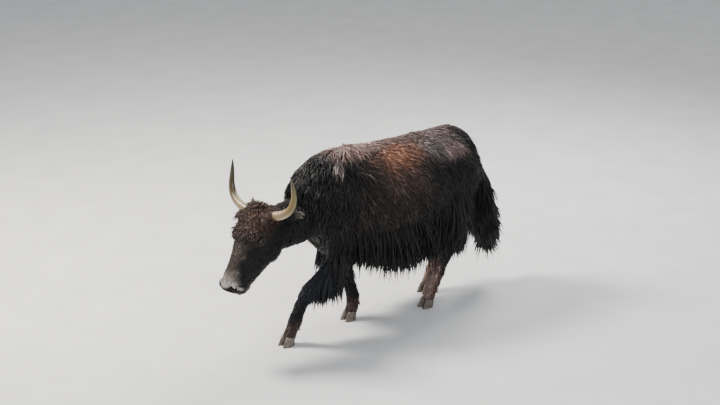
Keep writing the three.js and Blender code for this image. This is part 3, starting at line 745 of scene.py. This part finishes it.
hair_finish = Finish("hair", 0.42, 0.22)
hair_finish.fill(hair_finish.shader, {
    "Sheen Weight": 0.02, "Sheen Roughness": 0.45, "Sheen Tint": (0.72, 0.78, 1.0, 1)})
strand_map = hair_finish.nodes.new("ShaderNodeUVMap")
strand_map.uv_map = "strand"
stretched = hair_finish.node("Mapping", {"Vector": strand_map.outputs["UV"], "Scale": (9, 0.7, 1)})
strands = hair_finish.noise(1.0, 3, stretched.outputs["Vector"])
hair_finish.painted(hair_finish.ranged(strands, 0.55, 1.45))
hair_finish.bump(strands, 0.5, 0.003)

DOWN = np.array([0.0, 0.0, -1.0])
ROOT_DEPTH = 0.004
STRAND_REPEAT = 14
# The share of tufts that are painted as glints of sun, and how much paler they are.
SUNLIT_SHARE, SUNLIT_GLOW = 0.07, 2.6


def grow(name, seeds, length, width, lift, fall, curl, rings=3, fan=0.22, glow=1.0):
    """Grows a tuft from each seed: it leaves the skin at the lift, falls and curls, and ends in a tip."""
    number = len(seeds["root"])
    length = np.broadcast_to(length, number) * rng.uniform(0.72, 1.2, number)
    width = np.broadcast_to(width, number) * rng.uniform(0.75, 1.25, number)
    sway = rng.uniform(0.5, 1.5, number) + 0.8 * patchy(seeds["root"], 0.045, 32)
    lift = np.broadcast_to(lift, number) * sway
    fan = rng.normal(0, fan, number) + 0.55 * patchy(seeds["root"], 0.05, 31)
    phase = rng.uniform(0, 2 * np.pi, number)
    spin = rng.choice([-1, 1], number) * rng.uniform(3.5, 6.0, number)
    normal, lie = seeds["normal"], seeds["lie"]
    side = unit(np.cross(lie, normal))
    path = [seeds["root"] - normal * np.minimum(ROOT_DEPTH, 0.06 * length)[:, None]]
    for k in range(rings):
        s = (k + 0.5) / rings
        way = lie + side * (fan + curl * np.sin(phase + spin * s))[:, None]
        way += normal * (lift * (1 - 1.3 * s) + 0.6 * curl * np.cos(phase + spin * s))[:, None]
        way = unit(way) + DOWN * (np.broadcast_to(fall, number) * s)[:, None]
        path.append(path[-1] + unit(way) * (length / rings)[:, None])

    size = 3 * rings + 1
    verts = np.empty((number, size, 3))
    strand = np.empty((number, size, 2))
    tone = np.empty((number, size))
    offset = rng.uniform(0, 50, number)
    for k in range(rings):
        s = k / rings
        ahead = unit(path[k + 1] - path[max(k - 1, 0)])
        across = unit(np.cross(ahead, normal))
        top = np.cross(across, ahead)
        half = (width / 2 * (0.7 + 0.9 * s) * (1 - s) ** 0.75 * 1.15)[:, None]
        verts[:, 3 * k] = path[k] - across * half
        verts[:, 3 * k + 1] = path[k] + top * half * 0.55
        verts[:, 3 * k + 2] = path[k] + across * half
        for j in range(3):
            strand[:, 3 * k + j] = np.stack([offset + j / 2, s * length * STRAND_REPEAT], 1)
        tone[:, 3 * k:3 * k + 3] = 0.55 + 0.5 * s
    verts[:, -1] = path[rings]
    strand[:, -1] = np.stack([offset + 0.5, length * STRAND_REPEAT], 1)
    tone[:, -1] = 1.15
    # Each tuft gets a random tone. A few are painted much paler, as painted glints of sun on single locks,
    # and glow makes a whole piece paler, a painted highlight on the mane and forelock.
    shades = glow * np.exp(rng.normal(0, 0.28, number))
    tone *= (shades * np.where(rng.random(number) < SUNLIT_SHARE, SUNLIT_GLOW, 1.0))[:, None]

    faces = [[2, 1, 0]]
    for k in range(rings - 1):
        for j in range(3):
            a, b = 3 * k + j, 3 * k + (j + 1) % 3
            faces.append([a, b, b + 3, a + 3])
    last = 3 * (rings - 1)
    faces += [[last + j, last + (j + 1) % 3, 3 * rings] for j in range(3)]
    loops = np.concatenate(faces)
    starts = np.cumsum([0, *map(len, faces[:-1])])
    all_loops = (loops[None, :] + np.arange(number)[:, None] * size).ravel()
    all_starts = (starts[None, :] + np.arange(number)[:, None] * len(loops)).ravel()
    tufts = bpy.data.meshes.new(name)
    tufts.vertices.add(number * size)
    tufts.vertices.foreach_set("co", verts.ravel())
    tufts.loops.add(len(all_loops))
    tufts.loops.foreach_set("vertex_index", all_loops.astype(np.int32))
    tufts.polygons.add(len(all_starts))
    tufts.polygons.foreach_set("loop_start", all_starts.astype(np.int32))
    tufts.polygons.foreach_set("use_smooth", np.ones(len(all_starts), bool))
    tufts.update(calc_edges=True)
    paint(tufts, (seeds["colour"][:, None, :] * tone[:, :, None]).reshape(-1, 3))

    patch = np.stack([strand[:, :, 0] - offset[:, None],
                      strand[:, :, 1] / np.maximum(length * STRAND_REPEAT, 1e-6)[:, None]], 2)
    bake = seeds["chart"][:, None, :] + patch * PATCH_SIZE
    for map_name, values in (("OFBake", bake), ("strand", strand)):
        layer = tufts.uv_layers.new(name=map_name)
        layer.uv.foreach_set("vector", values.reshape(-1, 2)[all_loops].ravel())
    piece = bpy.data.objects.new(name, tufts)
    bpy.context.scene.collection.objects.link(piece)
    finished(piece, hair_finish)


# Back, flanks and rump: hair of 5 to 7 cm, and up to 20 cm on the breeches, that grows from the hide and lies
# back and down in overlapping tufts. It is shorter where the lie of the hair parts.
upper_trunk = trunk * (1 - rise(2.2, 2.45, turn_of)) * (1 - rise(0.66, 0.72, t_at))
for side, side_name in SIDES:
    seeds = sow(upper_trunk * (side_of * side > 0), 9250)
    breeches = (1 - rise(0.06, 0.14, seeds["t"])) * rise(0.7, 1.2, seeds["turn"])
    long = 0.048 + 0.022 * rise(0.3, 1.4, seeds["turn"]) + 0.13 * breeches
    grow(f"coat_back_{side_name}", seeds, long * (0.4 + 0.6 * seeds["sure"]), width=0.0118, lift=0.36,
         fall=0.25, curl=0.22, fan=0.32)

# Mane: shaggy locks of about 10 cm on the hump and shoulders, and 7 cm on the neck, that hang forwards and
# down. They grow from the hide, and lie flattest along the ridge of the hump.
mane = trunk * rise(0.6, 0.7, t_at) * (1 - rise(1.5, 1.9, turn_of))
nape = neck * (1 - rise(1.5, 2.0, turn_of))
for side, side_name in SIDES:
    seeds = sow((mane + 0.8 * nape) * (side_of * side > 0), 4200)
    long = np.where(seeds["part"] == PARTS.index("neck"), 0.075, 0.105)
    grow(f"mane_{side_name}", seeds, long * (0.4 + 0.6 * seeds["sure"]), width=0.0135,
         lift=0.2 + 0.35 * rise(0.1, 0.7, seeds["turn"]), fall=0.75, curl=0.34, rings=4, fan=0.34,
         glow=1.15)

# Chest, throat and the underside of the neck: softer hair of 4 to 7 cm, grown from the hide. Its colour is
# painted much darker than the coat round it, as painted shade under the head and neck.
chest = trunk * rise(0.66, 0.72, t_at) * rise(1.7, 2.0, turn_of)
throat = neck * rise(1.8, 2.1, turn_of)
seeds = sow(chest + 0.8 * throat, 2900)
seeds["colour"] = seeds["colour"] * 0.3
long = np.where(seeds["part"] == PARTS.index("neck"), 0.04, 0.07)
grow("chest", seeds, long, width=0.011, lift=0.3, fall=0.5, curl=0.12)

# Skirt: the longest hair, of up to 40 cm, that grows from the lower flanks and the belly and hangs to an
# even hem, which is higher in front.
skirt = trunk * rise(1.85, 2.1, turn_of) * (1 - rise(0.66, 0.72, t_at))
skirt = skirt * rise(0.18, 0.3, t_at)


def hem(x):
    """The height of the skirt's hem at a length along the body."""
    return 0.322 + 0.11 * rise(0.06, 0.44, x)


for side, side_name in SIDES:
    seeds = sow(skirt * (side_of * side > 0), 4200)
    root = seeds["root"] + np.array(MIDDLE)
    under = rise(2.3, 2.9, seeds["turn"])
    reach = (root[:, 2] - hem(root[:, 0]) - 0.05 * under) * rng.uniform(0.76, 1.13, len(root))
    seeds["lie"] = unit(seeds["lie"] + DOWN * 0.8)
    # The skirt's black hair is painted darker still, as painted shade under the body.
    seeds["colour"] = seeds["colour"] * np.array([0.2, 0.21, 0.22]) + 0.0006
    grow(f"skirt_{side_name}", seeds, np.maximum(reach, 0.05), width=0.0155, lift=0.2, fall=1.2, curl=0.16,
         rings=5, fan=0.24)

# Legs: hair of up to 15 cm behind the thighs and forearms, short hair in front and on the shanks, and
# feathers of 3 to 5 cm that hang over the tops of the hooves. All of it grows from the hide.
high = own[:, 2]
outer = 1 - 0.5 * (side_of * np.sin(angle_at) < -0.2)
seeds = sow(leg * rise(0.4, 0.48, high) * outer, 4800)
far_fore = (seeds["part"] == PARTS.index("foreleg_right"))
far_front = far_fore * rise(0.36, 0.42, seeds["root"][:, 0] + MIDDLE.x)
rear = rise(0.8, 2.2, seeds["turn"]) * (1 - far_front)
front = np.maximum(1 - rise(0.5, 1.3, seeds["turn"]), far_front)
grow("legs_upper", seeds, 0.07 - 0.035 * front + 0.075 * rear, width=0.012 - 0.004 * front, lift=0.28,
     fall=0.5 - 0.4 * front, curl=0.1, rings=4, fan=0.2)
seeds = sow(leg * (1 - rise(0.4, 0.46, high)) * rise(0.135, 0.15, high), 5300)
fore = seeds["root"][:, 0] + MIDDLE.x > 0
rear = rise(1.2, 2.2, seeds["turn"]) * rise(0.26, 0.34, seeds["root"][:, 2] + MIDDLE.z)
grow("shanks", seeds, 0.031 + 0.075 * rear * fore, width=0.0066, lift=0.42, fall=0.3, curl=0.14)
coronet = 1 - rise(0.055, 0.1, high)
over_hoof = (1 - rise(0.155, 0.175, high)) * rise(0.036, 0.042, high)
seeds = sow(leg * over_hoof * (1 + 2 * coronet), 2400)
low = 1 - rise(0.06, 0.1, seeds["root"][:, 2])
grow("feathers", seeds, 0.027 + 0.012 * low + 0.012 * rise(1.4, 2.4, seeds["turn"]), width=0.006,
     lift=0.45, fall=0.8, curl=0.14)

# Curtains: locks of 6 to 26 cm that hang from behind the elbows and thighs down to an even height.
# Each row has where they start and end along the leg, and how low they hang.
CURTAINS = {
    "foreleg_left": (0.15, 0.5, 0.235), "foreleg_right": (0.15, 0.5, 0.26),
    "hindleg_left": (0.1, 0.42, 0.335), "hindleg_right": (0.1, 0.42, 0.335),
}
CURTAIN_LOCKS = 1150
for leg_name, (first, last, lowest) in CURTAINS.items():
    behind = rise(0.9, 1.7, turn_of)
    if leg_name == "foreleg_right":
        behind = rise(1.8, 2.3, turn_of) * (1 - rise(0.36, 0.42, own[:, 0]))
    if leg_name.startswith("hind"):
        own_side = 1 if leg_name.endswith("left") else -1
        behind = np.maximum(behind, rise(0.2, 0.6, own_side * np.sin(angle_at)))
    along_leg = rise(first, first + 0.05, t_at) * (1 - rise(last - 0.05, last, t_at))
    seeds = sow((part == PARTS.index(leg_name)) * along_leg * behind, CURTAIN_LOCKS)
    drop = np.clip(seeds["root"][:, 2] + MIDDLE.z - lowest, 0.06, 0.26) * rng.uniform(0.7, 1.1, CURTAIN_LOCKS)
    grow(f"curtain_{leg_name}", seeds, drop, width=0.015, lift=0.35, fall=1.4, curl=0.1, rings=5, fan=0.2)

# Face: hair of 1 to 4 cm, shortest round the eyes and on the nose, that gets longer on the cheeks, jaw and
# poll. It grows from the hide and lies down the face.
LID_EDGE = (0.029, 0.03, 0.02)
bare = rise(0.488, 0.505, in_head[:, 0])
hairy_face = face * (1 - bare) * (from_eye(in_head, LID_EDGE) > 1) * ~is_ear
for side, side_name in SIDES:
    seeds = sow(hairy_face * (in_head[:, 1] * side > 0), 5700)
    jaw = rise(1.2, 2.0, seeds["turn"]) * (1 - rise(0.55, 0.8, seeds["t"]))
    cheek = 1 - rise(0.3, 0.6, seeds["t"])
    long = 0.018 + 0.013 * cheek + 0.014 * jaw + 0.018 * (1 - rise(0.06, 0.22, seeds["t"]))
    to_lids = from_eye(on_face(seeds["root"]), LID_EDGE)
    grow(f"face_{side_name}", seeds, long * (0.4 + 0.6 * rise(1.0, 2.2, to_lids)),
         width=0.0045 + 0.001 * cheek, lift=0.32, fall=0.1, curl=0.16, fan=0.28, glow=1.1)

# Forelock: curls of 6 to 8 cm, brown at the tips, that grow from the poll between the horns and fall over
# the brow.
middle = rise(0.55, 0.85, np.cos(angle_at))
crown = face * (1 - rise(0.12 + 0.16 * middle, 0.2 + 0.18 * middle, t_at)) * ~is_ear
crown = crown * rise(0.1, 0.45, np.cos(angle_at))
seeds = sow(crown, 2300)
top = 1 - rise(0.04, 0.16, seeds["t"])
grow("forelock", seeds, 0.058 + 0.018 * top, width=0.009, lift=1.1 + 0.3 * top, fall=0.2, curl=0.8, rings=5,
     fan=0.4, glow=1.4)

# Horn curls: hair of 6 to 10 cm that grows round the roots of the horns and lies outwards over them, so that
# the edge of the sheath is hidden.
beside = placed(LEVEL_HEAD.inverted(), points)
horn_exits = placed(LEVEL_HEAD.inverted() @ HEAD_FRAME,
                    np.array([[0.03, side * 0.112, -0.02] for side, _ in SIDES]))
to_exit = np.min([np.linalg.norm(beside - exit_at, axis=1) for exit_at in horn_exits], axis=0)
seeds = sow(face * ~is_ear * (1 - rise(0.042, 0.066, to_exit)), 1000)
outwards = np.sign(placed(LEVEL_HEAD.inverted(), seeds["root"])[:, 1])
sideways = np.array(LEVEL_HEAD.to_3x3() @ Vector((0, 1, 0.25))) * outwards[:, None]
seeds["lie"] = unit(seeds["lie"] * 0.15 + sideways + np.array([0, 0, 0.15]))
grow("horn_curls", seeds, 0.085, width=0.0095, lift=0.45, fall=0.25, curl=0.4, rings=5, fan=0.45, glow=1.1)

# Ears: short hair on the leaf of gristle, with a longer, paler fringe along its edges and tip.
# It grows outwards from the root of the ear.
EAR_PALE = np.array([0.22, 0.19, 0.16])
seeds = sow(is_ear.astype(float), 1500)
tip = rise(0.6, 1.0, (seeds["chart"][:, 0] - CHARTS["ear"][0]) / (CHARTS["ear"][2] - CHARTS["ear"][0]))
seeds["colour"] = seeds["colour"] * 0.9 + EAR_PALE * (0.75 * tip)[:, None]
grow("ears", seeds, 0.02 + 0.022 * tip, width=0.0055, lift=0.3, fall=0.35, curl=0.1)

# Tail: a brush of coarse hair of 12 to 21 cm that starts at the dock, hides it and hangs to the hocks. It
# swings a little out behind her.
seeds = sow(dock.astype(float) + 1e-9, 4000)
low = rise(0.05, 0.45, seeds["t"])
grow("tail_hair", seeds, 0.12 + 0.09 * low, width=0.015, lift=0.1 + 0.3 * low, fall=0.75, curl=0.16, rings=4,
     fan=0.24)

# Eyes: dark brown, wet balls that are set deep between the lids, one on each side of the head.
# Their fronts alone show.
EYE_FORWARD, EYE_LOOSE = 0.0015, 0.0008
eye_finish = Finish("eye", 0.1, 0.3)
eye_finish.fill(eye_finish.shader, {"Coat Weight": 0.18, "Coat Roughness": 0.03})
eye_finish.colour(eye_finish.ramp(eye_finish.noise(160, 4), (0.004, 0.003, 0.003), (0.03, 0.014, 0.007)))
for side, side_name in SIDES:
    shape = bmesh.new()
    place = HEAD_FRAME @ Matrix.Translation(on_side(side, EYE_AT + Vector((0, EYE_FORWARD, 0))))
    radius = EYE_RADIUS - EYE_LOOSE
    bmesh.ops.create_uvsphere(shape, u_segments=32, v_segments=20, radius=radius, matrix=place)
    eye = as_object(f"eyeball_{side_name}", shape)
    finished(eye, eye_finish)
    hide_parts(f"eye_{side_name}")

# Horns: a sheath of horn on a core of bone, that leaves the skull sideways and sweeps up. It is ringed near
# the head and polished towards a dark tip. The amber underside near the head is painted darker as painted
# shade, and the whole far horn is painted darker as painted shade.
HORN_ROOT = Vector((0.034, 0.084, -0.024))
HORN_PATH = [(0, -0.016, -0.01), (-0.006, 0.05, 0.002), (-0.018, 0.116, 0.024), (-0.032, 0.163, 0.06),
             (-0.042, 0.184, 0.11), (-0.046, 0.184, 0.165), (-0.044, 0.176, 0.22), (-0.038, 0.166, 0.27)]
HORN_RADII = [0.029, 0.028, 0.026, 0.023, 0.019, 0.015, 0.01, 0.003]
HORN_RINGS, HORN_AROUND = 90, 40
RIDGE_HEIGHT, RIDGE_TURNS = 0.0011, 150
CREAM, OLIVE, DARK, SHADED_AMBER = np.array([
    [0.46, 0.38, 0.25], [0.15, 0.128, 0.055], [0.045, 0.04, 0.028], [0.16, 0.095, 0.032]])
horn_form = Form([(*point, radius, radius, radius) for point, radius in zip(HORN_PATH, HORN_RADII)],
                 Matrix(), 0.0)
horn_finish = Finish("horn", 0.34, 0.5)
fine = horn_finish.noise(300, 5)
horn_finish.painted(horn_finish.ranged(fine, 0.8, 1.15))
horn_finish.bump(fine, 0.15, 0.001)
for side, side_name in SIDES:
    shape = horn_form.shell(HORN_RINGS, HORN_AROUND)
    ring, spot = np.divmod(np.arange(HORN_RINGS * HORN_AROUND), HORN_AROUND)
    t, angle = ring / (HORN_RINGS - 1), spot * 2 * np.pi / HORN_AROUND
    near_head = (1 - rise(0.2, 0.5, t)) * rise(0.05, 0.12, t)
    ridges = RIDGE_HEIGHT * np.sin(t * RIDGE_TURNS + 1.5 * np.sin(t * 37)) * near_head
    horn_points = horn_form.surface(t, angle, ridges) * [1, side, 1]
    root = HEAD_FRAME @ on_side(side, HORN_ROOT)
    turn = Matrix.Translation(root) @ Matrix.Rotation(HEAD_TURN, 4, "Z")
    for vert, point in zip(shape.verts, placed(turn, horn_points)):
        vert.co = point
    bmesh.ops.recalc_face_normals(shape, faces=shape.faces)
    horn = as_object(f"horn_sheath_{side_name}", shape)
    colour = CREAM + (OLIVE - CREAM) * (0.1 + 0.9 * rise(0.28, 0.5, t))[:, None]
    colour = colour + (DARK - colour) * (rise(0.62, 0.97, t) * 0.85)[:, None]
    # The underside near the head is amber of its own, darkened as painted shade.
    under = rise(0.1, 0.9, -np.cos(angle)) * (1 - rise(0.55, 0.8, t))
    colour = colour + (SHADED_AMBER - colour) * (0.75 * under)[:, None]
    # The far horn is painted darker: painted shade, on the side away from the light.
    if side < 0:
        colour = colour * (1 - 0.62 * rise(0.16, 0.4, t))[:, None]
    base = 1 - rise(0.06, 0.2, t)
    paint(horn.data, colour * (1 - 0.35 * base * (0.5 + 0.5 * np.sin(t * RIDGE_TURNS)))[:, None])
    finished(horn, horn_finish)
    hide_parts(f"horn_{side_name}")

# Hooves: two toes to a foot, each a capsule of horn round its bone, flat below, with growth lines round the
# wall and a worn edge. They stand on the floor, and the hair of the feathers hides their tops.
TOE_LENGTH, TOE_HEIGHT, TOE_SPLIT = 0.092, 0.062, 0.023
TOE_TOP_SHARE, TOE_HALF, TOE_TOP_HALF = 0.72, 0.0215, 0.018
TOE_SPLAY = math.radians(5)
TOE_BACK = 0.008
TOES = {"foreleg_left": (0.866, 0.058), "foreleg_right": (0.309, -0.03),
        "hindleg_left": (-0.226, 0.117), "hindleg_right": (-0.39, -0.088)}
hoof_finish = Finish("hoof", 0.48, 0.4)
lines = hoof_finish.node("TexWave", {
    "Vector": hoof_finish.where, "Scale": 55, "Distortion": 3.0, "Detail": 3})
lines.bands_direction = "Z"
worn = hoof_finish.ramp(hoof_finish.noise(60, 5), (0.04, 0.032, 0.027), (0.165, 0.136, 0.11), 0.3, 0.62)
hoof_finish.colour(worn, hoof_finish.ranged(lines.outputs["Fac"], 0.82, 1.1, 0, 1))
hoof_finish.bump(lines.outputs["Fac"], 0.3, 0.0012)


def toe(place):
    """Half a cloven hoof: a wall that slopes back to the coronet, over a flat sole."""
    shape = bmesh.new()
    bmesh.ops.create_cone(shape, cap_ends=True, segments=28, radius1=1, radius2=1, depth=1,
                          matrix=Matrix.Translation((0, 0, 0.5)))
    upright = [edge for edge in shape.edges if abs(edge.verts[0].co.z - edge.verts[1].co.z) > 0.5]
    bmesh.ops.subdivide_edges(shape, edges=upright, cuts=6, use_grid_fill=True)
    for vert in shape.verts:
        x, y, height = vert.co
        round_edge = 1 - 0.06 * (height > 0.9)
        length = TOE_LENGTH / 2 * (1 + (TOE_TOP_SHARE - 1) * height) * round_edge
        half = (TOE_HALF + (TOE_TOP_HALF - TOE_HALF) * height) * (1 - 0.22 * max(0, x) ** 2) * round_edge
        drop = 0.014 * max(0, -x) * height
        vert.co = Vector((x * length - 0.016 * height, y * half, height * TOE_HEIGHT - drop))
    sole = [edge for edge in shape.edges if edge.verts[0].co.z < 1e-4 and edge.verts[1].co.z < 1e-4]
    bmesh.ops.bevel(shape, geom=sole, offset=0.0022, segments=2, affect="EDGES", profile=0.5, material=-1)
    bmesh.ops.transform(shape, matrix=place, verts=shape.verts)
    bmesh.ops.recalc_face_normals(shape, faces=shape.faces)
    return shape


for leg_name, (x, y) in TOES.items():
    for side, side_name in SIDES:
        place = (BODY_FRAME @ Matrix.Translation((x - TOE_BACK, y + side * TOE_SPLIT, MIDDLE.z))
                 @ Matrix.Rotation(side * TOE_SPLAY, 4, "Z"))
        hoof = as_object(f"hoof_{leg_name}_{side_name}", toe(place))
        finished(hoof, hoof_finish)
        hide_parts(f"{leg_name}_toe_{side_name}")

# Dewclaws: two small blunt cones of dark horn behind each fetlock, rooted in the skin above the hoof.
# They point down and back, clear of the floor.
CLAW_SPLIT, CLAW_LENGTH, CLAW_TURN = 0.017, 0.034, math.radians(208)
claw_finish = Finish("dewclaw", 0.5, 0.4)
claw_finish.colour(claw_finish.ramp(claw_finish.noise(120, 4), (0.03, 0.024, 0.02), (0.11, 0.088, 0.07)))
claws = []
for rows in LEGS.values():
    x, y, z, _, rear, _ = rows[-2]
    for side, _ in SIDES:
        claw = bmesh.new()
        place = (BODY_FRAME @ Matrix.Translation((x - rear - 0.003, y + side * CLAW_SPLIT, z - 0.008))
                 @ Matrix.Rotation(CLAW_TURN, 4, "Y"))
        bmesh.ops.create_cone(claw, cap_ends=True, segments=16, radius1=0.0105, radius2=0.003,
                              depth=CLAW_LENGTH, matrix=place)
        claws.append(claw)
dewclaws = as_object("dewclaws", join(claws))
finished(dewclaws, claw_finish)

# The place: a plain pale floor that isn't part of the animal, and a pale room round it.
# Three soft lamps stand to the left, in front and behind.
bpy.ops.mesh.primitive_plane_add(size=60, location=(0, 0, 0))
floor = bpy.context.object
floor.name = "floor"
floor_finish = Finish("floor", 0.9, 0.1)
grain = floor_finish.ranged(floor_finish.noise(3, 3), 0.62, 0.68)
tint = floor_finish.node("CombineColor", {"Red": grain, "Green": grain, "Blue": grain})
floor_finish.colour(tint.outputs["Color"])
floor.data.materials.append(floor_finish.material)

world = bpy.data.worlds.new("room")
world.use_nodes = True
world.node_tree.nodes["Background"].inputs["Color"].default_value = (0.93, 0.96, 1.0, 1)
world.node_tree.nodes["Background"].inputs["Strength"].default_value = 0.6
bpy.context.scene.world = world

VIEW_TURN, VIEW_HEIGHT, VIEW_DISTANCE = math.radians(38), math.radians(19), 10.0
PIXELS_PER_METRE = 160
VIEW_WIDTH, VIEW_TALL = 720, 405
HUMP, HUMP_IN_VIEW = Vector((0.33, 0, 1.2)), (347, 142)
Z = Vector((0, 0, 1))
right = Vector((-math.cos(VIEW_TURN), math.sin(VIEW_TURN), 0))
away = Vector((-math.sin(VIEW_TURN), -math.cos(VIEW_TURN), 0))
look = math.cos(VIEW_HEIGHT) * away - math.sin(VIEW_HEIGHT) * Z
up = math.cos(VIEW_HEIGHT) * Z + math.sin(VIEW_HEIGHT) * away
off_right, off_up = HUMP_IN_VIEW[0] - VIEW_WIDTH / 2, VIEW_TALL / 2 - HUMP_IN_VIEW[1]
aim = HUMP - MIDDLE - right * off_right / PIXELS_PER_METRE - up * off_up / PIXELS_PER_METRE
camera = bpy.data.objects.new("camera", bpy.data.cameras.new("camera"))
facing = Matrix((right, up, -look)).transposed().to_4x4()
camera.matrix_world = Matrix.Translation(aim - look * VIEW_DISTANCE) @ facing
camera.data.sensor_width = 36
camera.data.lens = 36 * PIXELS_PER_METRE * VIEW_DISTANCE / VIEW_WIDTH
bpy.context.scene.collection.objects.link(camera)
bpy.context.scene.camera = camera


def lamp(name, place, size, power, colour):
    """A square soft light that shines at the animal."""
    light = bpy.data.objects.new(name, bpy.data.lights.new(name, "AREA"))
    light.data.size = size
    light.data.energy = power
    light.data.color = colour
    aimed = (place - 0.7 * Z).to_track_quat("Z", "Y").to_matrix().to_4x4()
    light.matrix_world = Matrix.Translation(place) @ aimed
    bpy.context.scene.collection.objects.link(light)


lamp("key", -3.8 * right + 5.0 * Z + away * 0.6, 1.6, 760, (1.0, 0.95, 0.88))
lamp("fill", right * 2.0 + 3.5 * Z - away * 4.5, 3.0, 150, (0.92, 0.96, 1.0))
lamp("rim", right * 2.0 + away * 3.5 + 4.0 * Z, 2.0, 260, (1.0, 0.98, 0.95))
